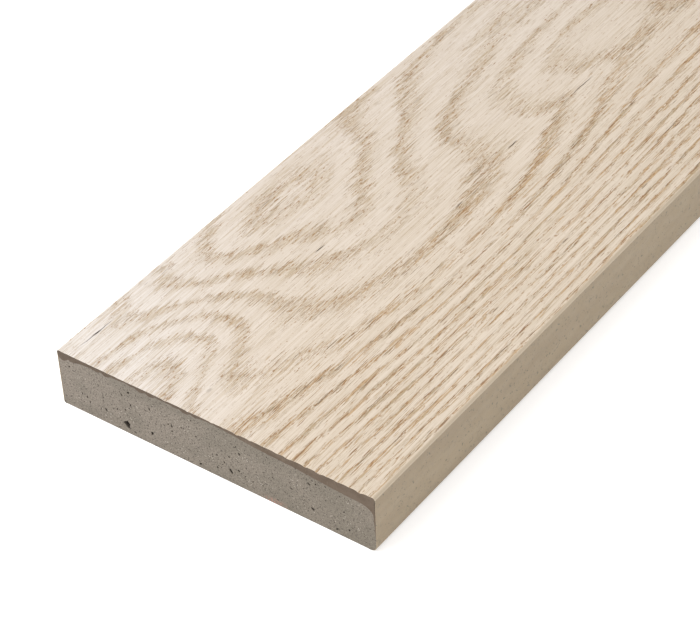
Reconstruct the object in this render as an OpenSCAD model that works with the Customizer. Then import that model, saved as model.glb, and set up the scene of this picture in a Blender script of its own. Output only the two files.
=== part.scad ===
// Threshold strip: a cast board with a light resin-mineral core, glass reinforcement strands,
// an elastomer wear skin and thin colour coats. X runs across the strip, Y along it, Z up.
// The origin is the middle of the underside. The nose is the +X edge and the heel the -X edge.

/* [Board] */
// Width across the strip, from heel to nose
board_w = 176; // [140:1:220]
// Thickness from the underside to the tread
board_h = 32; // [28:0.5:36]
// Length that spans the doorway
board_l = 900; // [600:10:1200]

/* [Edges] */
// Radius of the eased edge between the tread and the nose
nose_top_r = 1.3; // [1:0.1:3]
// Radius of the eased edge between the tread and the heel
heel_top_r = 1.2; // [1:0.1:3]
// Radius of the nose's lower edge
nose_bottom_r = 4; // [2:0.1:5]
// Radius of the heel's lower edge
heel_bottom_r = 1.2; // [1:0.1:3]

/* [Coats and skin] */
// Thickness of the colour coats on the tread and the two long edges
coat_t = 0.4; // [0.3:0.05:0.8]
// Thinnest wear skin, over the heel half of the tread
skin_thin = 1; // [0.5:0.1:1.5]
// Wear skin where its thick half begins
skin_mid = 3.3; // [2:0.1:4]
// Wear skin just inside the nose
skin_nose = 6; // [5:0.1:7]
// How much deeper the skin pools along the heel
heel_pool = 2.4; // [1:0.1:4]
// Depth of the small runs on the skin's underside
run_depth = 1.5; // [0.2:0.1:1.5]

/* [Reinforcement] */
// Diameter of one glass strand
strand_d = 1.6; // [1:0.1:2.4]
// Strands in the lower layer
lower_count = 11; // [5:1:15]
// Strands in the upper layer
upper_count = 6; // [3:1:9]

/* [Hidden] */
$fn = 48;
half_w = board_w / 2;
eps = 0.01;

// The skin is thin as far as thin_end and reaches skin_mid at thick_start, both measured from the heel.
thin_end = board_w * 0.5;
thick_start = board_w * 0.69;
outline_step = 1.5;
heel_pool_w = 16;

// The runs repeat every run_pitch and fade out around thin_end. A slower wave makes some deeper.
run_pitch = 6.4;
fade_before = 6;
fade_after = 8;
beat_turn = 97;
beat_start = 40;

// The core's top corner at the nose is a quarter ellipse, and the skin fills the corner outside it.
nose_corner_w = 8.3;
nose_corner_h = 4.9;
// The skin's leg down the nose tapers from nose_leg_t to nothing at leg_end_z.
nose_leg_t = 0.7;
leg_end_z = 6;
arc_steps = 10;

// Strands settle a little off their straight rows. The turns, in degrees, spread them unevenly.
lower_z = board_h * 0.23;
upper_z = board_h * 0.61;
strand_margin = 12;
strand_jitter_x = 3;
strand_jitter_z = 2;
strand_turn_x = 137;
strand_turn_z = 222;
strand_start_z = 30;

tread_coat_bottom = board_h - nose_top_r;
heel_coat_top = board_h - heel_top_r;

// Smooth step from 0 at a to 1 at b
function ramp(a, b, v) = let (t = min(1, max(0, (v - a) / (b - a)))) t * t * (3 - 2 * t);

// Wavy runs left on the skin's underside where the poured skin is thin
function runs(s) = run_depth * (1 - ramp(thin_end - fade_before, thin_end + fade_after, s))
    * abs(sin(180 * s / run_pitch)) * (0.5 + 0.5 * sin(beat_turn * s / run_pitch + beat_start));

// Skin thickness at a distance s from the heel
function skin_depth(s) = skin_thin + runs(s)
    + heel_pool * exp(-pow(s / heel_pool_w, 2))
    + (skin_mid - skin_thin) * ramp(thin_end, thick_start, s)
    + (skin_nose - skin_mid) * ramp(thick_start, board_w - nose_corner_w, s);

function skin_underside(x) = board_h - coat_t - skin_depth(x + half_w);

// One rounded corner is cut from a rectangle by removing a square less its circle.
module corner_waste(x, z, side_x, side_z, r) {
    translate([x, z])
        difference() {
            translate([side_x > 0 ? 0 : -r - eps, side_z > 0 ? 0 : -r - eps])
                square(r + eps);
            circle(r);
        }
}

// The strip's outline with each edge eased; inset moves it inward under the coats.
module outline(inset) {
    w = half_w - inset;
    h = board_h - inset;
    difference() {
        translate([-w, 0])
            square([2 * w, h]);
        corner_waste(w - nose_top_r + inset, h - nose_top_r + inset, 1, 1, nose_top_r - inset);
        corner_waste(-w + heel_top_r - inset, h - heel_top_r + inset, -1, 1, heel_top_r - inset);
        corner_waste(w - nose_bottom_r, nose_bottom_r, 1, -1, nose_bottom_r);
        corner_waste(-w + heel_bottom_r, heel_bottom_r, -1, -1, heel_bottom_r);
    }
}

// The core's outline: flat below, wavy under the skin and rounded at the nose's top corner.
module core_outline() {
    corner_x = half_w - coat_t - nose_leg_t - nose_corner_w;
    corner_z = skin_underside(corner_x) - nose_corner_h;
    side = half_w - coat_t;
    top_points = [for (x = [-side : outline_step : corner_x - outline_step / 2]) [x, skin_underside(x)]];
    corner_points = [for (i = [0 : arc_steps])
        let (a = 90 - 90 * i / arc_steps)
        [corner_x + nose_corner_w * cos(a), corner_z + nose_corner_h * sin(a)]];
    intersection() {
        outline(coat_t);
        polygon(concat([[-side, -1]], top_points, corner_points, [[side, leg_end_z], [side, -1]]));
    }
}

// Everything runs the full length of the strip.
module along_strip() {
    translate([0, board_l / 2, 0])
        rotate([90, 0, 0])
            linear_extrude(board_l)
                children();
}

// A layer of strands, set slightly off a straight row as they settle in the casting
module strand_layer(count, z) {
    span = board_w - 2 * strand_margin;
    for (i = [0 : count - 1]) {
        x = -span / 2 + span * i / (count - 1) + strand_jitter_x * sin(strand_turn_x * i);
        translate([x, -board_l / 2, z + strand_jitter_z * sin(strand_turn_z * i + strand_start_z)])
            rotate([-90, 0, 0])
                cylinder(d = strand_d, h = board_l);
    }
}

module resin_core() {
    color([0.58, 0.55, 0.50])
        difference() {
            along_strip() core_outline();
            strand_layer(lower_count, lower_z);
            strand_layer(upper_count, upper_z);
        }
}

module wear_skin() {
    color([0.46, 0.41, 0.35])
        along_strip()
            difference() {
                outline(coat_t);
                core_outline();
            }
}

// The ring between the outer outline and the coated body
module coat_ring() {
    difference() {
        outline(0);
        outline(coat_t);
    }
}

module tread_coat() {
    color([0.88, 0.82, 0.74])
        along_strip()
            intersection() {
                coat_ring();
                union() {
                    translate([0, tread_coat_bottom])
                        square([board_w, board_h]);
                    translate([-board_w, heel_coat_top])
                        square([board_w, board_h]);
                }
            }
}

module nose_coat() {
    color([0.65, 0.59, 0.51])
        along_strip()
            intersection() {
                coat_ring();
                square([board_w, tread_coat_bottom]);
            }
}

module heel_coat() {
    color([0.65, 0.59, 0.51])
        along_strip()
            intersection() {
                coat_ring();
                translate([-board_w, 0])
                    square([board_w, heel_coat_top]);
            }
}

module lower_strands() {
    color([0.85, 0.83, 0.78])
        strand_layer(lower_count, lower_z);
}

module upper_strands() {
    color([0.85, 0.83, 0.78])
        strand_layer(upper_count, upper_z);
}

resin_core();
wear_skin();
tread_coat();
nose_coat();
heel_coat();
lower_strands();
upper_strands();
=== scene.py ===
"""Looks of the threshold strip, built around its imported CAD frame.

X runs across the strip from heel (-X) to nose (+X), Y along it and Z up. Sizes here are in
millimetres: u is the distance from the heel and v the distance from the near cut end. They turn
into Blender's metres where a mesh, light or camera is made.
"""

import math

import bmesh
import bpy
import numpy as np
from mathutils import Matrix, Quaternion, Vector, geometry


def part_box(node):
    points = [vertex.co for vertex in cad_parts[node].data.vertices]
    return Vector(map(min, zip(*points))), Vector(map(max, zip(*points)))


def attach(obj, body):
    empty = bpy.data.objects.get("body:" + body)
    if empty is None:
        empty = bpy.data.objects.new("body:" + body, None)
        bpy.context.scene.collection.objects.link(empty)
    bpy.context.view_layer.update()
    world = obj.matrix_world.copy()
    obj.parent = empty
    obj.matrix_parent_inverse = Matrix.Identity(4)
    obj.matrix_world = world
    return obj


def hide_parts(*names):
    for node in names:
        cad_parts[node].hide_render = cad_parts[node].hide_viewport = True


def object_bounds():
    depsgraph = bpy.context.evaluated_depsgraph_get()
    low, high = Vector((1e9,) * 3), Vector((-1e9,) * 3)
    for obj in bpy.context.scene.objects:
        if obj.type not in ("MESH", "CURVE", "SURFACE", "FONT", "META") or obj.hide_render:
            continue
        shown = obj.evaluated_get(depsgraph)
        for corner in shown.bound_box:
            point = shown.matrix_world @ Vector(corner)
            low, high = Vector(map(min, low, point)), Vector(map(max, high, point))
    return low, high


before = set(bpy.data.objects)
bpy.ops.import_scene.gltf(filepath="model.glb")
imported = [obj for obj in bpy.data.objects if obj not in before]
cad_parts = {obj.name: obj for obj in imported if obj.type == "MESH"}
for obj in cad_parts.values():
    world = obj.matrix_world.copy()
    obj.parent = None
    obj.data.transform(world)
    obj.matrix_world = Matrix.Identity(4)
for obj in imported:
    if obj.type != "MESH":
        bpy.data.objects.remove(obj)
cad_low, cad_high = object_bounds()
MM = 0.001

# ---- sizes, from the frame ------------------------------------------------------------------
width = (cad_high.x - cad_low.x) / MM
length = (cad_high.y - cad_low.y) / MM
height = (cad_high.z - cad_low.z) / MM
half = width / 2
nose_top_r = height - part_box("nose_coat")[1].z / MM
heel_top_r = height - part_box("heel_coat")[1].z / MM
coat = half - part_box("resin_core")[1].x / MM
# The lower edges' radii and the skin's profile aren't in the frame's boxes, so they repeat the CAD model's.
NOSE_BOTTOM_R = 4.0
HEEL_BOTTOM_R = 1.2

# ---- the skin's underside -------------------------------------------------------------------
SKIN_THIN = 1.0
SKIN_MID = 3.3
SKIN_NOSE = 6.0
HEEL_POOL = 2.4
HEEL_POOL_W = 16.0
RUN_DEPTH = 1.5
RUN_PITCH = 6.4
FADE_BEFORE = 6.0
FADE_AFTER = 8.0
BEAT_TURN = 97
BEAT_START = 40
THIN_END = width * 0.5
THICK_START = width * 0.69
NOSE_CORNER_W = 8.3
NOSE_CORNER_H = 4.9
NOSE_LEG_T = 0.7
LEG_END_Z = 6.0

# ---- the grain ------------------------------------------------------------------------------
RING_START = 1.4
RING_SPREAD = 0.00063
PITH_U = 20.0
# Swellings of the growth rings: u, v, half-widths along u and v, and how many rings each adds.
RING_BUMPS = [
    (20, 150, 15, 55, -0.8),  # the closed eye near the heel
    (47, 0, 40, 80, 5.6),  # the arches that stand on the near cut
    (75, 30, 15, 35, -1),  # their dented shoulder
    (60, 355, 36, 105, 4),  # the second set of arches
    (90, 300, 5, 70, -0.3),  # the fold down their middle
    (15, 310, 18, 100, 1.7),
    (0, 25, 12, 75, 1.4),
    (47, 235, 25, 60, 1.1),
    (55, 155, 15, 25, -0.5),
    (120, 160, 33, 130, -1.9),  # wider rings on the nose side
    (50, 520, 25, 80, -1.5),
    (90, 560, 20, 90, -1),
    (30, 655, 30, 75, 4),
    (70, 700, 15, 40, 1),
    (25, 790, 17, 50, -1.2),
    (65, 880, 35, 80, 4),
]

# Notches the saw left in the near top edge: u, depth and half-width
CHIPS = [
    (62.5, 0.3, 1.0),
    (75.5, 0.4, 1.2),
    (88.5, 0.35, 1.0),
    (102.5, 0.5, 1.4),
    (109.5, 0.3, 1.0),
    (124, 0.35, 1.2),
    (130, 0.55, 1.3),
    (139, 0.4, 1.2),
    (147, 0.6, 1.6),
    (156, 0.35, 1.0),
    (168, 0.6, 1.5),
]
CHIP_REACH = 4.0

# ---- the tread's mesh: spacing of its points across and along the strip ---------------------
GRID_U = 0.45
GRID_V = 4.0
ARC_STEPS = 6

# ---- the embossing --------------------------------------------------------------------------
RING_WAVER = 0.22
BAND_DEPTH = 0.13
BAND_DEPTH_ADDED_AT_NOSE = 0.12
FINE_DEPTH = 0.1
BROAD_DEPTH = 0.12
DEEPEST_RELIEF = 0.7


def ramp(a, b, v):
    """Smooth step from 0 at a to 1 at b."""
    t = np.clip((v - a) / (b - a), 0.0, 1.0)
    return t * t * (3 - 2 * t)


def value_noise(u, v, cell_u, cell_v, seed):
    """Smooth noise from 0 to 1 on cells of cell_u by cell_v."""
    x, y = np.asarray(u) / cell_u + 7.0, np.asarray(v) / cell_v + 7.0
    x, y = np.broadcast_arrays(x, y)
    table = np.random.default_rng(seed).random((int(x.max()) + 3, int(y.max()) + 3))
    i, j = x.astype(int), y.astype(int)
    a, b = x - i, y - j
    a, b = a * a * (3 - 2 * a), b * b * (3 - 2 * b)
    low = table[i, j] * (1 - a) + table[i + 1, j] * a
    high = table[i, j + 1] * (1 - a) + table[i + 1, j + 1] * a
    return low * (1 - b) + high * b


def ring_field(u, v):
    """Growth-ring number at a place on the tread; whole numbers are the dark early wood."""
    rings = RING_START + RING_SPREAD * (u - PITH_U) ** 2
    for bump_u, bump_v, size_u, size_v, rise in RING_BUMPS:
        rings = rings + rise * np.exp(-(((u - bump_u) / size_u) ** 2) - ((v - bump_v) / size_v) ** 2)
    return rings


def chips(u, v):
    """Depth of the notches in the near top edge."""
    depth = sum(d * np.exp(-(((u - place) / w) ** 2)) for place, d, w in CHIPS)
    return depth * (1 - ramp(0, CHIP_REACH, v))


def relief(u, v):
    """Depth of the embossed grain below the tread, in mm."""
    rings = ring_field(u, v) + RING_WAVER * (value_noise(u, v, 1.3, 15, 1) - 0.5)
    phase = rings - np.floor(rings)
    band = np.exp(-phase / 0.2) + ramp(0.9, 1.0, phase)
    streak = ramp(0.3, 0.75, value_noise(u, v, 0.9, 18, 2))
    straight = ramp(60, 130, u)
    depth = (BAND_DEPTH + BAND_DEPTH_ADDED_AT_NOSE * straight) * band * (0.35 + 0.65 * streak)
    depth = depth + FINE_DEPTH * value_noise(u, v, 1.7, 40, 3)
    depth = depth + BROAD_DEPTH * value_noise(u, v, 9, 120, 4)
    at_edges = ramp(0.4, 3.0, u) * ramp(1.5, 5.0, width - u)
    return np.minimum(depth + chips(u, v), DEEPEST_RELIEF) * at_edges


def skin_depth(s):
    """Thickness of the wear skin at a distance s from the heel."""
    runs = RUN_DEPTH * (1 - ramp(THIN_END - FADE_BEFORE, THIN_END + FADE_AFTER, s))
    runs = runs * np.abs(np.sin(np.pi * s / RUN_PITCH))
    runs = runs * (0.5 + 0.5 * np.sin(np.radians(BEAT_TURN * s / RUN_PITCH + BEAT_START)))
    pool = HEEL_POOL * np.exp(-((s / HEEL_POOL_W) ** 2))
    rise = (SKIN_MID - SKIN_THIN) * ramp(THIN_END, THICK_START, s)
    nose = (SKIN_NOSE - SKIN_MID) * ramp(THICK_START, width - NOSE_CORNER_W, s)
    return SKIN_THIN + runs + pool + rise + nose


def arc(centre, r, start, end, steps):
    """Points on an arc in the XZ plane; angles in degrees from +X."""
    angles = np.radians(np.linspace(start, end, steps + 1))
    return [(centre[0] + r * math.cos(a), centre[1] + r * math.sin(a)) for a in angles]


def face_outward(mesh):
    """Turns every face of a closed mesh outward."""
    work = bmesh.new()
    work.from_mesh(mesh)
    bmesh.ops.recalc_face_normals(work, faces=work.faces)
    work.to_mesh(mesh)
    work.free()


def to_mesh(name, points, faces, body="root"):
    """A mesh object of points in mm, riding on a CAD body."""
    mesh = bpy.data.meshes.new(name)
    mesh.from_pydata((np.asarray(points, float) * MM).tolist(), [], faces)
    mesh.validate()
    face_outward(mesh)
    piece = bpy.data.objects.new(name, mesh)
    bpy.context.scene.collection.objects.link(piece)
    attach(piece, body)
    return piece


def shade(piece, angle=40):
    """Smooth shading that keeps corners over an angle in degrees sharp."""
    with bpy.context.temp_override(
        object=piece, active_object=piece, selected_objects=[piece], selected_editable_objects=[piece]
    ):
        bpy.ops.object.shade_smooth_by_angle(angle=math.radians(angle))


def grid_faces(rows, columns, start=0):
    """Quads over a grid of points numbered row by row."""
    r, c = np.meshgrid(np.arange(rows - 1), np.arange(columns - 1), indexing="ij")
    first = (start + r * columns + c).ravel()
    return np.stack([first, first + 1, first + columns + 1, first + columns], 1)


def shell(name, outer, inner):
    """A closed thin shell between two grids of points, given as arrays of rows x columns x 3."""
    rows, columns = outer.shape[:2]
    count = rows * columns
    faces = [grid_faces(rows, columns), grid_faces(rows, columns, count)]
    index = np.arange(count).reshape(rows, columns)
    for line in (index[0], index[-1], index[:, 0], index[:, -1]):
        a, b = line[:-1], line[1:]
        faces.append(np.stack([b, a, a + count, b + count], 1))
    points = np.concatenate([outer.reshape(-1, 3), inner.reshape(-1, 3)])
    return to_mesh(name, points, np.concatenate(faces).tolist())


# ---- tread coat -----------------------------------------------------------------------------
def tread_sections():
    """The tread's outer line across the strip and its inward normals: (x, z, nx, nz) rows."""
    heel = arc((-half + heel_top_r, height - heel_top_r), heel_top_r, 180, 90, ARC_STEPS)
    nose = arc((half - nose_top_r, height - nose_top_r), nose_top_r, 90, 0, ARC_STEPS + 2)
    count = round((width - heel_top_r - nose_top_r) / GRID_U)
    flat = np.linspace(-half + heel_top_r, half - nose_top_r, count + 1)[1:-1]
    line = heel + [(x, height) for x in flat] + nose
    line = np.array(line)
    normals = np.zeros_like(line)
    normals[:, 1] = 1.0
    heel_centre = (-half + heel_top_r, height - heel_top_r)
    nose_centre = (half - nose_top_r, height - nose_top_r)
    normals[: len(heel)] = (line[: len(heel)] - heel_centre) / heel_top_r
    normals[-len(nose) :] = (line[-len(nose) :] - nose_centre) / nose_top_r
    return line, normals


def tread_grid(v_rows, drop):
    """Points of the tread at each row, drop mm below the embossed surface."""
    line, normals = tread_sections()
    u = np.clip(line[:, 0] + half, 0, width)
    depth = relief(u[None, :], v_rows[:, None]) + drop
    x = line[None, :, 0] - normals[None, :, 0] * depth
    z = line[None, :, 1] - normals[None, :, 1] * depth
    y = np.broadcast_to((v_rows - length / 2)[:, None], x.shape)
    return np.stack([x, y, z], -1)


# The coat's thickness on a cut end, and the depth of its plain underside between the ends
COAT_SHOWN = 0.15
INNER_DROP = 0.8


def inner_grid():
    """The coat's underside, which is also the skin's top: thin at the cut ends, plain between."""
    ends = tread_grid(np.array([0.0, length]), COAT_SHOWN)
    plain = tread_grid(np.array([GRID_V, length - GRID_V]), 0.0)
    line, normals = tread_sections()
    for row in plain:
        row[:, 0] = line[:, 0] - normals[:, 0] * INNER_DROP
        row[:, 2] = line[:, 1] - normals[:, 1] * INNER_DROP
    return np.stack([ends[0], plain[0], plain[1], ends[1]])


def make_tread():
    """The embossed coat: a fine outer face over a coarse underside."""
    rows = np.linspace(0, length, round(length / GRID_V) + 1)
    outer, inner = tread_grid(rows, 0.0), inner_grid()
    columns = outer.shape[1]
    start = len(rows) * columns
    top = np.arange(start).reshape(len(rows), columns)
    under = start + np.arange(4 * columns).reshape(4, columns)
    faces = grid_faces(len(rows), columns).tolist() + grid_faces(4, columns, start).tolist()
    for c in range(columns - 1):
        faces.append([top[0, c + 1], top[0, c], under[0, c], under[0, c + 1]])
        faces.append([top[-1, c], top[-1, c + 1], under[-1, c + 1], under[-1, c]])
    faces.append(top[:, 0].tolist() + under[::-1, 0].tolist())
    faces.append(top[::-1, -1].tolist() + under[:, -1].tolist())
    piece = to_mesh("tread_grain", np.concatenate([outer.reshape(-1, 3), inner.reshape(-1, 3)]), faces)
    rings = ring_field(outer[..., 0] + half, outer[..., 1] + length / 2).ravel()
    layer = piece.data.attributes.new("rings", "FLOAT", "POINT")
    layer.data.foreach_set("value", np.append(rings, np.zeros(4 * columns)).astype(np.float32))
    shade(piece, 60)
    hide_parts("tread_coat")
    return piece


# ---- outlines of the cut end ----------------------------------------------------------------
INTERFACE_STEP = 0.5
INTERFACE_WAVER = 0.25
CORNER_POINTS = 16


def interface_line():
    """The line between skin and core, from the heel to the end of the nose leg."""
    side = half - coat
    corner_x = side - NOSE_LEG_T - NOSE_CORNER_W
    x = np.arange(-side, corner_x, INTERFACE_STEP)
    waver = INTERFACE_WAVER * (value_noise(x + half, 0, 1.4, 1, 11) - 0.5)
    z = height - coat - skin_depth(x + half) - waver
    corner_z = height - coat - float(skin_depth(np.array(corner_x + half))) - NOSE_CORNER_H
    corner = []
    for a in np.radians(np.linspace(90, 0, CORNER_POINTS)):
        corner.append((corner_x + NOSE_CORNER_W * math.cos(a), corner_z + NOSE_CORNER_H * math.sin(a)))
    return list(zip(x.tolist(), z.tolist())) + corner + [(side, LEG_END_Z)]


def core_outline():
    """The core's closed outline, counter-clockwise from the heel's lower edge."""
    side = half - coat
    heel = arc((-side + HEEL_BOTTOM_R, HEEL_BOTTOM_R), HEEL_BOTTOM_R, 180, 270, 6)
    nose = arc((side - NOSE_BOTTOM_R, NOSE_BOTTOM_R), NOSE_BOTTOM_R, 270, 360, 12)
    return heel + nose + interface_line()[::-1]


def fill_end(loop):
    """Triangles that close a loop of (point number, x, z), as lists of point numbers."""
    flat = [Vector((x, z)) for _, x, z in loop]
    edges = [(i, (i + 1) % len(loop)) for i in range(len(loop))]
    made = geometry.delaunay_2d_cdt(flat, edges, [list(range(len(loop)))], 1, 1e-6)
    numbers = [loop[sources[0]][0] if sources else None for sources in made[3]]
    faces = [[numbers[k] for k in tri] for tri in made[2]]
    return [tri for tri in faces if None not in tri]


def make_skin():
    """The skin, from the coat's underside down to the core."""
    lower = interface_line()[::-1]
    points, faces = [], []
    for row in inner_grid():
        y = row[0, 1]
        points += row.tolist() + [(x, y, z) for x, z in lower]
    count = len(points) // 4
    for row in range(3):
        a = row * count
        for i in range(count):
            j = (i + 1) % count
            faces.append((a + i, a + count + i, a + count + j, a + j))
    for row in (0, 3):
        numbers = range(row * count, (row + 1) * count)
        faces += fill_end([(k, points[k][0], points[k][2]) for k in numbers])
    piece = to_mesh("skin_cut", points, faces)
    shade(piece, 35)
    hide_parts("wear_skin")
    return piece


# ---- core with air holes in its cut ends ----------------------------------------------------
PIT_SIDES = 12
CORE_SET_BACK = 0.1
# Holes crowd around these shares of the width. Most are small, and a few are larger.
PIT_CLUSTERS = (0.2, 0.45, 0.62, 0.86)
CROWDED_SHARE = 0.6
CLUSTER_SPREAD = 0.11
SMALLEST_PIT = 0.16
PIT_GROWTH = 0.34
LARGER_SHARE = 0.03
LARGER_BY = 0.35
PIT_TRIES = 2600
PIT_COUNT = 150
RIM_MARGIN = 1.0
# No hole reaches further than this from its middle.
PIT_REACH = 4.0
# Rings of a hole from its rim inward: share of its radius, and depth in radii. Its floor comes last.
PIT_PROFILE = ((1.0, 0.0), (0.9, 0.8), (0.6, 2.0))
PIT_FLOOR = 2.6
# The plainest holes in the near end: u, z, radius, stretch, and tilt in degrees
BIG_PITS = [
    (38, 5.5, 1.7, 1.3, -50),
    (42.5, 2.5, 0.5, 1.5, -30),
    (26, 8, 0.65, 1.5, -60),
    (38, 14, 0.45, 1.5, -60),
    (41.5, 18.5, 0.45, 1.3, 70),
    (50, 19.5, 0.4, 1.5, -40),
    (55.5, 14, 0.35, 1.3, 90),
    (65, 17.5, 0.55, 1.3, -60),
    (80, 2.5, 0.6, 1.5, -60),
    (97.5, 7, 0.75, 2.3, -65),
    (94, 10.5, 0.45, 1.6, -60),
    (97, 15.5, 0.4, 1.5, -50),
    (90, 13, 0.45, 1.3, 80),
    (121, 15.5, 0.35, 1.3, -50),
    (131, 14, 0.5, 1.3, 10),
    (141, 22, 0.55, 1.8, -35),
    (142, 8, 0.6, 2, -60),
    (159, 15, 0.4, 1.3, 60),
    (161.5, 5.5, 0.45, 1.3, 60),
]


def scatter_pits(seed, with_big):
    """Air holes on a cut end, none touching another or the rim."""
    rng = np.random.default_rng(seed)
    pits = [(u - half, z, r, s, math.radians(t)) for u, z, r, s, t in BIG_PITS] if with_big else []
    side = half - coat
    for _ in range(PIT_TRIES):
        cluster = rng.choice(PIT_CLUSTERS)
        if rng.random() < CROWDED_SHARE:
            x = rng.normal(cluster, CLUSTER_SPREAD) * width - half
        else:
            x = rng.uniform(-side, side)
        z = rng.uniform(1.2, height - 5)
        r = SMALLEST_PIT + PIT_GROWTH * rng.random() ** 4
        r = r if rng.random() > LARGER_SHARE else r + LARGER_BY
        stretch, tilt = rng.uniform(1.0, 1.7), rng.normal(math.radians(60), 0.4)
        reach = r * stretch * 1.3 + 0.25
        if abs(x) > side - reach - RIM_MARGIN or z < reach + 0.5:
            continue
        top = height - coat - float(skin_depth(np.array(x + half))) - 0.4
        if x > side - NOSE_CORNER_W - 2:
            top -= NOSE_CORNER_H
        if z > top - reach:
            continue
        if any(math.hypot(x - p[0], z - p[1]) < reach + p[2] * p[3] * 1.3 for p in pits):
            continue
        pits.append((x, z, r, stretch, tilt))
        if len(pits) >= PIT_COUNT:
            break
    return pits


def pit_rings(pit, rng):
    """The rings of one hole, from its rim inward, each with its depth."""
    x, z, r, stretch, tilt = pit
    rough = 1 + min(0.2 + 0.15 * r, 0.35) * rng.uniform(-1, 1, PIT_SIDES)
    rings = []
    for share, depth in PIT_PROFILE:
        loop = []
        for k in range(PIT_SIDES):
            a = 2 * math.pi * k / PIT_SIDES
            px, pz = r * stretch * rough[k] * share * math.cos(a), r * rough[k] * share * math.sin(a)
            turned_x = px * math.cos(tilt) - pz * math.sin(tilt)
            turned_z = px * math.sin(tilt) + pz * math.cos(tilt)
            loop.append((x + turned_x, z + turned_z))
        rings.append((loop, depth * r))
    return rings


def inside(point, loop):
    """True if a point lies in a closed loop."""
    x, y = point
    hit = False
    for (x1, y1), (x2, y2) in zip(loop, loop[1:] + loop[:1]):
        if (y1 > y) != (y2 > y) and x < (x2 - x1) * (y - y1) / (y2 - y1) + x1:
            hit = not hit
    return hit


def add_cap(points, faces, rim_ids, outline, y, inward, pits, seed):
    """Closes one cut end of the core, with its holes. inward is +1 where the core lies at +Y."""
    rng = np.random.default_rng(seed)
    flat = [Vector(p) for p in outline]
    edges = [(i, (i + 1) % len(outline)) for i in range(len(outline))]
    ids = list(rim_ids)
    holes = []
    for pit in pits:
        rings = pit_rings(pit, rng)
        start = len(flat)
        for px, pz in rings[0][0]:
            flat.append(Vector((px, pz)))
            ids.append(len(points))
            points.append((px, y, pz))
        edges += [(start + k, start + (k + 1) % PIT_SIDES) for k in range(PIT_SIDES)]
        holes.append((pit, rings, [ids[start + k] for k in range(PIT_SIDES)]))
    made = geometry.delaunay_2d_cdt(flat, edges, [list(range(len(outline)))], 1, 1e-7)
    back = [sources[0] if sources else None for sources in made[3]]
    for tri in made[2]:
        own = [back[k] for k in tri]
        if None in own:
            continue
        cx, cz = sum(flat[k].x for k in own) / 3, sum(flat[k].y for k in own) / 3
        near = [h for h in holes if math.hypot(h[0][0] - cx, h[0][1] - cz) < PIT_REACH]
        if any(inside((cx, cz), h[1][0][0]) for h in near):
            continue
        faces.append([ids[k] for k in own])
    for pit, rings, rim in holes:
        loops = [rim]
        for loop, depth in rings[1:]:
            start = len(points)
            points.extend((px, y + inward * depth, pz) for px, pz in loop)
            loops.append(list(range(start, start + PIT_SIDES)))
        bottom = len(points)
        points.append((pit[0], y + inward * pit[2] * PIT_FLOOR, pit[1]))
        for a, b in zip(loops, loops[1:]):
            for k in range(PIT_SIDES):
                m = (k + 1) % PIT_SIDES
                faces.append([a[k], a[m], b[m], b[k]])
        last = loops[-1]
        for k in range(PIT_SIDES):
            faces.append([last[k], last[(k + 1) % PIT_SIDES], bottom])


def make_core():
    """The casting, with air holes in both cut ends."""
    outline = core_outline()
    count = len(outline)
    near_y, far_y = CORE_SET_BACK - length / 2, length / 2 - CORE_SET_BACK
    points = [(x, near_y, z) for x, z in outline] + [(x, far_y, z) for x, z in outline]
    faces = []
    for i in range(count):
        j = (i + 1) % count
        faces.append((i, i + count, j + count, j))
    add_cap(points, faces, range(count), outline, near_y, 1, scatter_pits(21, True), 31)
    add_cap(points, faces, range(count, 2 * count), outline, far_y, -1, scatter_pits(22, False), 32)
    piece = to_mesh("core_casting", points, faces)
    shade(piece, 35)
    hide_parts("resin_core")
    return piece


# ---- edge coats -----------------------------------------------------------------------------
LOWER_EDGE_STEPS = 10
COAT_ROWS = 61


def make_edge_coat(name, node, side, bottom_r, top_r):
    """A beige coat on one long edge, from the tread's eased edge to under the lower edge."""
    outer = [(half, height - top_r)]
    outer += arc((half - bottom_r, bottom_r), bottom_r, 0, -90, LOWER_EDGE_STEPS)
    inner = [(half - coat, height - top_r)]
    inner += arc((half - coat - bottom_r, bottom_r), bottom_r, 0, -90, LOWER_EDGE_STEPS)
    rows = np.linspace(-length / 2, length / 2, COAT_ROWS)

    def grid(line):
        x = np.array([p[0] for p in line]) * side
        z = np.array([p[1] for p in line])
        return np.stack(np.broadcast_arrays(x[None, :], rows[:, None], z[None, :]), -1)

    piece = shell(name, grid(outer), grid(inner))
    shade(piece, 40)
    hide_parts(node)
    return piece


# ---- glass strands --------------------------------------------------------------------------
# Points of the CAD mesh closer than this belong to one strand.
STRAND_GAP = 2.5


def bundle_places(node):
    """The middle of each strand of a CAD node, as (x, z) in mm."""
    groups = []
    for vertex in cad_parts[node].data.vertices:
        x, z = vertex.co.x / MM, vertex.co.z / MM
        near = [g for g in groups if math.hypot(g[0][0] - x, g[0][1] - z) < STRAND_GAP]
        if near:
            near[0].append((x, z))
        else:
            groups.append([(x, z)])
    return [tuple(np.mean(g, axis=0)) for g in groups]


def add_tube(points, faces, line, radius, sides=5):
    """Adds a closed tube along a line of points."""
    start = len(points)
    for k, place in enumerate(line):
        ahead = Vector(line[min(k + 1, len(line) - 1)]) - Vector(line[max(k - 1, 0)])
        turn = ahead.to_track_quat("Y", "Z")
        for s in range(sides):
            angle = 2 * math.pi * s / sides
            spoke = Vector((math.cos(angle), 0, math.sin(angle))) * radius
            points.append(tuple(Vector(place) + turn @ spoke))
    for k in range(len(line) - 1):
        a = start + k * sides
        for s in range(sides):
            m = (s + 1) % sides
            faces.append((a + s, a + m, a + sides + m, a + sides + s))
    faces.append(tuple(range(start, start + sides)))
    faces.append(tuple(range(len(points) - sides, len(points))))


FIBRE_R = 0.08
# Fibres in a bundle: at least the first number, and fewer than the second
FIBRES = (7, 12)
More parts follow.
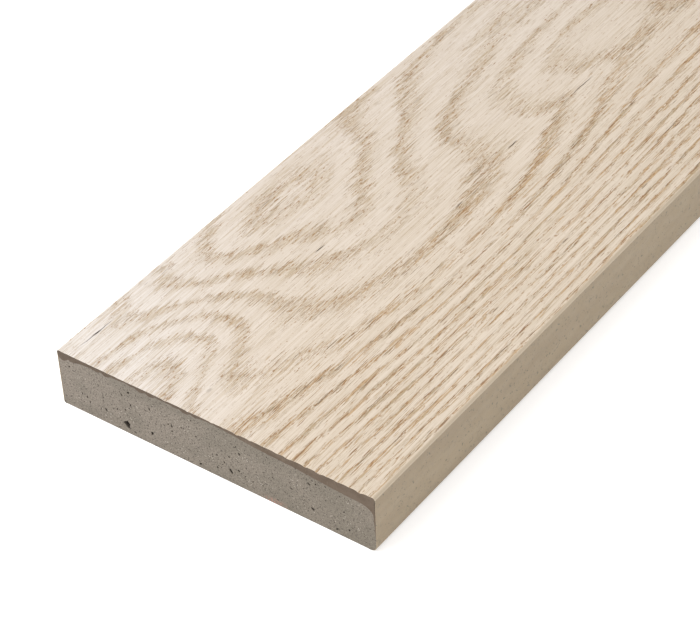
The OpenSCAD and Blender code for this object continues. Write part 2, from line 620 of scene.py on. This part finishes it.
# How widely the fibres of a bundle stray, across the strip and up
FIBRE_SPREAD = (3.0, 1.7)
FIBRE_ROOT = 1.5


def make_strands(name, node, seed):
    """Each strand is a loose bundle of fibres whose cut ends lie bent over on the saw cut."""
    rng = np.random.default_rng(seed)
    points, faces = [], []
    for middle_x, middle_z in bundle_places(node):
        for _ in range(rng.integers(*FIBRES)):
            x = middle_x + rng.normal(0, FIBRE_SPREAD[0])
            z = max(middle_z + rng.normal(0, FIBRE_SPREAD[1]), 1.5)
            line = []
            for end in (-1, 1):
                turn, reach = rng.uniform(0, math.pi), rng.uniform(0.3, 1.3)
                tip = (x + reach * math.cos(turn), end * (length / 2 - FIBRE_R), z + reach * math.sin(turn))
                bend = (x, end * (length / 2 - FIBRE_R - 0.02), z)
                root = (x, end * (length / 2 - FIBRE_ROOT), z)
                line += [tip, bend, root] if end < 0 else [root, bend, tip]
            add_tube(points, faces, line, FIBRE_R)
    piece = to_mesh(name, points, faces)
    shade(piece, 60)
    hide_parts(node)
    return piece


# ---- materials ------------------------------------------------------------------------------
def srgb(r, g, b):
    """A colour given as it looks, 0 to 255, as the linear values that shaders take."""
    def linear(c):
        c /= 255
        return c / 12.92 if c <= 0.04045 else ((c + 0.055) / 1.055) ** 2.4

    return (linear(r), linear(g), linear(b), 1.0)


# The tread's base colours; the heel's is paler partly as painted light from the heel side.
PALE_HEEL = srgb(222, 210, 198)
PALE_NOSE = srgb(222, 207, 189)
PALE_SHADE = srgb(196, 178, 153)
TAN = srgb(200, 181, 152)
STROKE = srgb(172, 147, 111)
STROKE_WARM = srgb(186, 150, 106)
STROKE_DEEP = srgb(112, 90, 65)
STROKE_DEEP_WARM = srgb(140, 99, 60)
EASED = srgb(197, 180, 157)
SPLIT = srgb(58, 45, 35)
HAIR = srgb(178, 156, 124)
PORE = srgb(152, 110, 66)
# Painted glare whitening the tread near the near end's heel corner.
GLARE_WHITE = srgb(236, 230, 226)
EDGE_SPECK = srgb(136, 126, 108)
EDGE_DOT = srgb(98, 96, 83)
# Painted shade along the edge coat's lower edge, where it turns under.
EDGE_UNDER_SHADE = srgb(96, 83, 66)
SKIN_LIGHT = srgb(108, 93, 79)
SKIN_DARK = srgb(96, 81, 67)
SKIN_SAWN = srgb(124, 109, 95)
SKIN_GRIT = srgb(82, 69, 57)
FIBRE_LIGHT = srgb(216, 207, 194)
FIBRE_DARK = srgb(186, 176, 162)
# The edge coat's colours are set darker than the tread's base; the coat's own beige is close to the tread's,
# so most of this darkness is painted shade of the upright sides.
EDGE_LIGHT = srgb(160, 143, 118)
EDGE_DARK = srgb(151, 134, 110)
CORE_LIGHT = srgb(143, 133, 122)
CORE_DARK = srgb(129, 121, 110)
# Painted shade: the core's cut end darkens towards the nose, away from the light.
CORE_NOSE_SHADE = srgb(130, 121, 107)
CORE_SAND = srgb(101, 93, 83)
CORE_FLECK = srgb(196, 187, 174)
# Painted shade colour for the air holes and the tiny pores of the core.
CORE_PORE_SHADE = srgb(60, 53, 46)
SMEAR = srgb(190, 138, 124)
SMEAR_U = 121.0
SMEAR_SIZE = 9.0
# Drying splits in the tread: u, v, length, width, and how dark from 0 to 1
SPLITS = [
    (8, 7, 24, 0.35, 0.8),
    (8, 15.5, 7, 0.6, 1),
    (57, 119, 8, 0.4, 1),
    (88, 236, 9, 0.4, 1),
    (90, 290, 22, 0.35, 0.9),
    (93, 183, 7, 0.4, 0.8),
    (75.5, 14, 4, 1.2, 0.25),
    (31, 470, 26, 0.4, 0.9),
    (118, 610, 18, 0.35, 0.9),
    (64, 742, 30, 0.4, 1),
    (101, 845, 12, 0.4, 1),
]


class Nodes:
    """Short calls for building a material's node tree."""

    def __init__(self, name):
        self.material = bpy.data.materials.new(name)
        self.material.use_nodes = True
        self.tree = self.material.node_tree
        self.shader = self.tree.nodes["Principled BSDF"]
        self.object_place = self.tree.nodes.new("ShaderNodeTexCoord").outputs["Object"]

    def set(self, **values):
        """Sets plain values on the shader."""
        for name, value in values.items():
            self.shader.inputs[name.replace("_", " ")].default_value = value

    def link(self, source, target):
        """Links one socket to another."""
        self.tree.links.new(source, target)

    def put(self, value, socket):
        """Links a socket to another, or gives it a plain value."""
        if isinstance(value, bpy.types.NodeSocket):
            self.link(value, socket)
        else:
            socket.default_value = value

    def math(self, operation, a, b=0.0, clamp=False):
        """One step of arithmetic."""
        node = self.tree.nodes.new("ShaderNodeMath")
        node.operation = operation
        node.use_clamp = clamp
        self.put(a, node.inputs[0])
        self.put(b, node.inputs[1])
        return node.outputs[0]

    def noise(self, per_mm, detail=2.0, roughness=0.5, offset=(0, 0, 0)):
        """Noise whose features repeat per_mm = (x, y, z) times a millimetre."""
        mapping = self.tree.nodes.new("ShaderNodeMapping")
        mapping.inputs["Scale"].default_value = [k / MM for k in per_mm]
        mapping.inputs["Location"].default_value = offset
        self.link(self.object_place, mapping.inputs["Vector"])
        node = self.tree.nodes.new("ShaderNodeTexNoise")
        node.inputs["Scale"].default_value = 1.0
        node.inputs["Detail"].default_value = detail
        node.inputs["Roughness"].default_value = roughness
        self.link(mapping.outputs[0], node.inputs["Vector"])
        return node.outputs["Fac"]

    def over(self, value, limit, softness):
        """0 where a value is under a limit, 1 where it is over by more than the softness."""
        above = self.math("SUBTRACT", value, limit)
        return self.span(above, 0.0, softness)

    def split_marks(self, x, y):
        """1 along the fine drying splits of the tread, 0 elsewhere."""
        wobble = self.noise((0.02, 0.09, 0.1), 2, 0.5, (4, 4, 4))
        wobble = self.span(wobble, 0.2, 0.8, -0.6, 0.6, smooth=False)
        marks = 0.0
        for split_u, split_v, split_length, split_width, darkness in SPLITS:
            away = self.math("SUBTRACT", self.math("ADD", x, wobble), split_u - half)
            along = self.math("SUBTRACT", y, split_v + split_length / 2 - length / 2)
            along = self.math("DIVIDE", self.math("ABSOLUTE", along), split_length / 2)
            across = self.math("DIVIDE", self.math("ABSOLUTE", away), split_width)
            taper = self.math("SUBTRACT", 1.0, self.math("MULTIPLY", along, along), clamp=True)
            mark = self.math("MULTIPLY", taper, self.span(across, 0.3, 1.0, darkness, 0.0))
            marks = self.math("MAXIMUM", marks, mark)
        return marks

    def span(self, value, low, high, to_low=0.0, to_high=1.0, smooth=True):
        """Carries a value from one range to another, held at both ends."""
        node = self.tree.nodes.new("ShaderNodeMapRange")
        node.interpolation_type = "SMOOTHSTEP" if smooth else "LINEAR"
        self.put(value, node.inputs["Value"])
        for name, number in zip(("From Min", "From Max", "To Min", "To Max"), (low, high, to_low, to_high)):
            node.inputs[name].default_value = number
        return node.outputs["Result"]

    def mix(self, share, a, b, blend="MIX"):
        """A share of colour b over colour a."""
        node = self.tree.nodes.new("ShaderNodeMix")
        node.data_type = "RGBA"
        node.blend_type = blend
        self.put(share, node.inputs[0])
        self.put(a, node.inputs[6])
        self.put(b, node.inputs[7])
        return node.outputs[2]

    def curve(self, value, stops):
        """A value carried through (place, result) stops."""
        node = self.tree.nodes.new("ShaderNodeValToRGB")
        ramp_stops = node.color_ramp.elements
        while len(ramp_stops) < len(stops):
            ramp_stops.new(0.5)
        for stop, (place, grey) in zip(ramp_stops, stops):
            stop.position = place
            stop.color = (grey, grey, grey, 1)
        self.link(value, node.inputs[0])
        return node.outputs[0]

    def axis(self, name):
        """A place along one axis, in mm."""
        node = self.tree.nodes.new("ShaderNodeSeparateXYZ")
        self.link(self.object_place, node.inputs[0])
        return self.math("MULTIPLY", node.outputs[name], 1 / MM)

    def bump(self, height_value, distance_mm, strength=1.0):
        """Fine relief from a height value."""
        node = self.tree.nodes.new("ShaderNodeBump")
        node.inputs["Distance"].default_value = distance_mm * MM
        node.inputs["Strength"].default_value = strength
        self.link(height_value, node.inputs["Height"])
        self.link(node.outputs[0], self.shader.inputs["Normal"])


def tread_material():
    """Limed oak grain: bands of open pores that follow the mesh's ring numbers."""
    n = Nodes("limed_oak_grain")
    attribute = n.tree.nodes.new("ShaderNodeAttribute")
    attribute.attribute_name = "rings"
    x, y = n.axis("X"), n.axis("Y")
    straight = n.span(x, -25.0, 35.0)

    # Early-wood bands: each growth ring starts dark and fades, with a feathered edge.
    jitter = n.span(n.noise((1.3, 0.05, 0.3), 3, 0.65), 0.2, 0.8, -1.0, 1.0, smooth=False)
    jitter = n.math("MULTIPLY", jitter, n.span(straight, 0.0, 1.0, 0.36, 0.26))
    rings = n.math("ADD", attribute.outputs["Fac"], jitter)
    phase = n.math("FRACT", rings)
    stops = [(0.0, 0.85), (0.06, 1.0), (0.26, 0.7), (0.43, 0.2), (0.58, 0.0), (0.93, 0.0), (1.0, 0.8)]
    band = n.curve(phase, stops)
    patch = n.span(n.noise((0.035, 0.012, 0.1), 2, 0.5, (5, 5, 0)), 0.32, 0.62, 0.6, 1.0)
    band = n.math("MULTIPLY", band, patch)

    # Open pores: fine strokes along the board, crowded in the bands and rare between them.
    limit = n.span(band, 0.0, 1.0, 0.66, 0.5, smooth=False)
    fine = n.over(n.noise((2.5, 0.14, 0.3), 2, 0.6, (6, 4, 0)), limit, 0.08)
    coarse = n.over(n.noise((1.5, 0.1, 0.3), 1, 0.5, (3, 1, 0)), n.math("ADD", limit, 0.02), 0.08)
    strokes = n.math("MAXIMUM", n.math("MULTIPLY", fine, 0.85), n.math("MULTIPLY", coarse, 0.9))
    lines = n.over(n.noise((2.3, 0.04, 0.3), 2, 0.5, (4, 7, 0)), n.math("SUBTRACT", limit, 0.01), 0.06)
    strokes = n.math("MAXIMUM", strokes, n.math("MULTIPLY", lines, n.span(straight, 0.0, 1.0, 0.4, 0.9)))
    deep = n.over(n.noise((2.2, 0.09, 0.3), 1, 0.5, (2, 9, 0)), n.math("ADD", limit, 0.05), 0.07)
    dark = n.math("MULTIPLY", deep, n.span(straight, 0.0, 1.0, 0.5, 1.0))
    pores = n.over(n.noise((1.8, 0.4, 0.3), 1, 0.5, (7, 2, 0)), n.math("ADD", limit, 0.06), 0.06)

    hairs = n.span(n.noise((1.7, 0.018, 0.3), 4, 0.7, (1, 8, 0)), 0.4, 0.6)
    scratches = n.over(n.noise((2.4, 0.03, 0.3), 2, 0.5, (9, 3, 0)), 0.6, 0.07)
    warm = n.span(n.noise((0.5, 0.06, 0.3), 2, 0.5, (8, 8, 0)), 0.36, 0.54)
    warm = n.math("MULTIPLY", warm, n.span(straight, 0.0, 1.0, 0.4, 0.9))

    # Painted light: the base is paler on the heel side, where the light comes from, and warmer towards the
    # nose. A painted glare whitens it near the near end's heel corner.
    pale = n.mix(n.span(x, -half, 50.0, smooth=False), PALE_HEEL, PALE_NOSE)
    # Painted glare near the near end's heel corner, fading with distance from it.
    glare_reach = n.math("ADD", n.math("MULTIPLY", n.math("ADD", x, half), 1.1), n.math("ADD", y, length / 2))
    pale = n.mix(n.span(glare_reach, 0.0, 160.0, 0.75, 0.0), pale, GLARE_WHITE)
    pale = n.mix(n.math("MULTIPLY", hairs, 0.4), pale, PALE_SHADE)
    pale = n.mix(n.math("MULTIPLY", scratches, 0.5), pale, HAIR)
    wash = n.math("MULTIPLY", n.span(hairs, 0.0, 1.0, 0.2, 0.5), n.span(straight, 0.0, 1.0, 1.0, 0.7))
    colour = n.mix(n.math("MULTIPLY", band, wash), pale, TAN)
    stroke_colour = n.mix(warm, STROKE, STROKE_WARM)
    colour = n.mix(n.math("MULTIPLY", strokes, n.span(straight, 0.0, 1.0, 0.56, 0.85)), colour, stroke_colour)
    colour = n.mix(n.math("MULTIPLY", dark, 0.8), colour, n.mix(warm, STROKE_DEEP, STROKE_DEEP_WARM))
    colour = n.mix(n.math("MULTIPLY", pores, 0.7), colour, PORE)

    splits = n.split_marks(x, y)
    colour = n.mix(splits, colour, SPLIT)

    # The nose wears the edge coat's beige where the tread turns down.
    eased = n.span(x, half - nose_top_r - 0.3, half - nose_top_r + 0.4)
    colour = n.mix(eased, colour, EASED)
    n.link(colour, n.shader.inputs["Base Color"])

    n.link(n.span(hairs, 0.0, 1.0, 0.6, 0.52), n.shader.inputs["Roughness"])
    dip = n.math("ADD", n.math("MULTIPLY", strokes, -1.0), n.math("MULTIPLY", hairs, -0.25))
    dip = n.math("ADD", dip, n.math("MULTIPLY", splits, -1.5))
    n.bump(n.math("MULTIPLY", dip, n.math("SUBTRACT", 1.0, eased)), 0.2, 0.6)
    n.set(Specular_IOR_Level=0.35)
    return n.material


def skin_material():
    """Brown elastomer with faint saw marks."""
    n = Nodes("sawn_elastomer")
    x = n.axis("X")
    cloud = n.noise((0.12, 0.12, 0.2), 3, 0.5)
    saw = n.noise((0.9, 0.3, 0.16), 2, 0.5, (4, 0, 2))
    grain = n.noise((3.0, 3.0, 3.0), 2, 0.6)
    colour = n.mix(n.span(cloud, 0.35, 0.65), SKIN_DARK, SKIN_LIGHT)
    colour = n.mix(n.math("MULTIPLY", n.span(saw, 0.58, 0.72), 0.5), colour, SKIN_SAWN)
    colour = n.mix(n.math("MULTIPLY", n.span(grain, 0.3, 0.7), 0.3), colour, SKIN_GRIT)
    colour = n.mix(n.span(x, -20.0, 30.0, 0.45, 0.0), colour, SKIN_GRIT)
    n.link(colour, n.shader.inputs["Base Color"])
    n.link(n.span(saw, 0.3, 0.7, 0.5, 0.62), n.shader.inputs["Roughness"])
    n.bump(n.math("ADD", saw, n.math("MULTIPLY", grain, 0.5)), 0.12, 0.5)
    n.set(Specular_IOR_Level=0.15)
    return n.material


def core_material():
    """Grey mineral casting with sand, flecks, pores and one faint smear, with painted shade in its holes and
    towards the nose.
    """
    n = Nodes("foamed_casting")
    x, y, z = n.axis("X"), n.axis("Y"), n.axis("Z")
    cloud = n.noise((0.05, 0.05, 0.09), 3, 0.55)
    sand = n.noise((1.3, 1.3, 1.3), 3, 0.65)
    flecks = n.span(n.noise((1.1, 1.1, 1.5), 2, 0.6, (3, 3, 3)), 0.64, 0.7)
    pores = n.span(n.noise((0.9, 0.9, 1.1), 2, 0.6, (8, 1, 5)), 0.62, 0.67)
    colour = n.mix(n.span(cloud, 0.35, 0.65), CORE_LIGHT, CORE_DARK)
    # Painted shade towards the nose, away from the light.
    colour = n.mix(n.span(x, -half, half), colour, n.mix(0.5, colour, CORE_NOSE_SHADE))
    colour = n.mix(n.math("MULTIPLY", n.span(sand, 0.4, 0.65), 0.6), colour, CORE_SAND)
    colour = n.mix(n.math("MULTIPLY", flecks, 0.65), colour, CORE_FLECK)
    # The tiny pores are painted in the shade colour, with a dent in the bump.
    colour = n.mix(n.math("MULTIPLY", pores, 0.85), colour, CORE_PORE_SHADE)

    # Painted shade darkens the inside of the air holes, a little way in from the cut.
    hole_shade = n.span(n.math("SUBTRACT", length / 2, n.math("ABSOLUTE", y)), CORE_SET_BACK + 0.1, 0.8)
    hole_shade = n.math("MULTIPLY", hole_shade, n.span(z, 0.3, 0.6))
    colour = n.mix(n.math("MULTIPLY", hole_shade, 0.8), colour, CORE_PORE_SHADE)

    # A faint reddish smear low on the near cut.
    smear_x = n.span(n.math("ABSOLUTE", n.math("SUBTRACT", x, SMEAR_U - half)), 0.0, SMEAR_SIZE, 1.0, 0.0)
    smear = n.math("MULTIPLY", smear_x, n.span(z, 1.0, 4.0, 1.0, 0.0))
    smear = n.math("MULTIPLY", smear, n.span(n.noise((0.9, 0.9, 0.9), 2, 0.6, (4, 1, 1)), 0.45, 0.6))
    smear = n.math("MULTIPLY", smear, n.math("LESS_THAN", y, 1.0 - length / 2))
    colour = n.mix(n.math("MULTIPLY", smear, 0.7), colour, SMEAR)
    n.link(colour, n.shader.inputs["Base Color"])

    n.link(n.span(sand, 0.3, 0.7, 0.75, 0.9), n.shader.inputs["Roughness"])
    n.bump(n.math("SUBTRACT", n.math("ADD", sand, flecks), n.math("MULTIPLY", pores, 2.0)), 0.22, 0.8)
    n.set(Specular_IOR_Level=0.25)
    return n.material


def edge_material():
    """Beige coat with fine specks, painted darker as shade of the upright sides, and with painted shade along
    the lower edge where it turns under.
    """
    n = Nodes("beige_edge_coat")
    cloud = n.noise((0.03, 0.008, 0.06), 3, 0.5)
    wave = n.noise((0.25, 0.1, 0.25), 2, 0.5, (2, 2, 2))
    specks = n.span(n.noise((0.8, 0.7, 0.6), 3, 0.75, (5, 1, 1)), 0.54, 0.62)
    dots = n.span(n.noise((0.8, 0.55, 0.6), 2, 0.6, (1, 7, 3)), 0.64, 0.68)
    # Painted shade where the coat turns under the lower edge.
    under_shade = n.span(n.axis("Z"), 0.3, 2.2, 0.8, 0.0)
    # Base colours darkened as painted shade of the upright sides.
    colour = n.mix(n.span(cloud, 0.35, 0.65), EDGE_DARK, EDGE_LIGHT)
    colour = n.mix(n.math("MULTIPLY", specks, 0.4), colour, EDGE_SPECK)
    colour = n.mix(n.math("MULTIPLY", dots, 0.7), colour, EDGE_DOT)
    colour = n.mix(under_shade, colour, EDGE_UNDER_SHADE)
    n.link(colour, n.shader.inputs["Base Color"])
    n.link(n.span(wave, 0.3, 0.7, 0.5, 0.6), n.shader.inputs["Roughness"])
    n.bump(n.math("SUBTRACT", n.math("MULTIPLY", wave, 0.4), specks), 0.12, 0.5)
    n.set(Specular_IOR_Level=0.35)
    return n.material


def strand_material():
    """Pale glass fibre."""
    n = Nodes("glass_fibre")
    along = n.noise((3.0, 0.4, 3.0), 2, 0.5)
    colour = n.mix(n.span(along, 0.35, 0.65), FIBRE_LIGHT, FIBRE_DARK)
    n.link(colour, n.shader.inputs["Base Color"])
    n.link(n.span(along, 0.3, 0.7, 0.35, 0.5), n.shader.inputs["Roughness"])
    n.bump(along, 0.03, 0.3)
    return n.material


def dress(piece, material):
    """Gives a piece its only material."""
    piece.data.materials.clear()
    piece.data.materials.append(material)


# ---- stage, lights and camera ---------------------------------------------------------------
CAMERA_AZIMUTH = 37.9
CAMERA_ELEVATION = 39.85
CAMERA_ROLL = -3.2
CAMERA_DISTANCE = 1177.0
CAMERA_LENS = 133.1
AIM_X = 7.5
AIM_FROM_NEAR_END = 93.7
LIT_FROM_NEAR_END = 120.0
# The floor is a light table, so shadows on it stay faint.
FLOOR_GLOW = 0.47
FLOOR_SIZE = 12000.0
FLOOR_DROP = 0.05
SKY_STRENGTH = 0.72


def direction(azimuth, elevation):
    """Unit vector from the aim towards a place seen at that azimuth and elevation."""
    a, e = math.radians(azimuth), math.radians(elevation)
    return Vector((math.sin(a) * math.cos(e), -math.cos(a) * math.cos(e), math.sin(e)))


def make_camera():
    """The camera, looking at the near end from over the nose."""
    aim = Vector((AIM_X, AIM_FROM_NEAR_END - length / 2, height)) * MM
    back = direction(CAMERA_AZIMUTH, CAMERA_ELEVATION)
    data = bpy.data.cameras.new("camera")
    data.sensor_width = 36.0
    data.lens = CAMERA_LENS
    camera = bpy.data.objects.new("camera", data)
    camera.location = aim + back * CAMERA_DISTANCE * MM
    roll = Quaternion((0, 0, 1), math.radians(CAMERA_ROLL))
    camera.rotation_mode = "QUATERNION"
    camera.rotation_quaternion = (-back).to_track_quat("-Z", "Y") @ roll
    data.clip_start = 0.01
    bpy.context.scene.collection.objects.link(camera)
    bpy.context.scene.camera = camera


def area_light(name, azimuth, elevation, distance, size, watts):
    """A round soft light, aimed at the middle of what the camera sees."""
    data = bpy.data.lights.new(name, "AREA")
    data.shape = "DISK"
    data.size = size
    data.energy = watts
    lamp = bpy.data.objects.new(name, data)
    back = direction(azimuth, elevation)
    lamp.location = Vector((0, LIT_FROM_NEAR_END - length / 2, 0)) * MM + back * distance
    lamp.rotation_mode = "QUATERNION"
    lamp.rotation_quaternion = (-back).to_track_quat("-Z", "Y")
    bpy.context.scene.collection.objects.link(lamp)


def make_stage():
    """The glowing floor, the white sky and two soft lights."""
    n = Nodes("pale_floor")
    tint = n.noise((0.004, 0.004, 0.004), 2, 0.5)
    n.link(n.mix(tint, srgb(246, 246, 246), srgb(250, 250, 250)), n.shader.inputs["Base Color"])
    n.set(Roughness=0.9, Emission_Color=(1, 1, 1, 1), Emission_Strength=FLOOR_GLOW)
    corners = []
    for side_x, side_y in ((-1, -1), (1, -1), (1, 1), (-1, 1)):
        corners.append((side_x * FLOOR_SIZE, side_y * FLOOR_SIZE, -FLOOR_DROP))
    mesh = bpy.data.meshes.new("floor")
    mesh.from_pydata([tuple(c * MM for c in p) for p in corners], [], [(0, 1, 2, 3)])
    floor = bpy.data.objects.new("floor", mesh)
    bpy.context.scene.collection.objects.link(floor)
    floor.data.materials.append(n.material)

    world = bpy.data.worlds.new("studio")
    world.use_nodes = True
    background = world.node_tree.nodes["Background"]
    background.inputs["Color"].default_value = (1, 1, 1, 1)
    background.inputs["Strength"].default_value = SKY_STRENGTH
    bpy.context.scene.world = world
    area_light("key", azimuth=-52, elevation=55, distance=1.5, size=1.4, watts=13.5)
    area_light("fill", azimuth=-20, elevation=35, distance=3.0, size=1.5, watts=6)
    bpy.context.scene.view_settings.view_transform = "Standard"


make_camera()
make_stage()
dress(make_tread(), tread_material())
dress(make_skin(), skin_material())
dress(make_core(), core_material())
edge = edge_material()
dress(make_edge_coat("nose_edge_coat", "nose_coat", 1, NOSE_BOTTOM_R, nose_top_r), edge)
dress(make_edge_coat("heel_edge_coat", "heel_coat", -1, HEEL_BOTTOM_R, heel_top_r), edge)
fibre = strand_material()
dress(make_strands("lower_fibres", "lower_strands", 41), fibre)
dress(make_strands("upper_fibres", "upper_strands", 42), fibre)
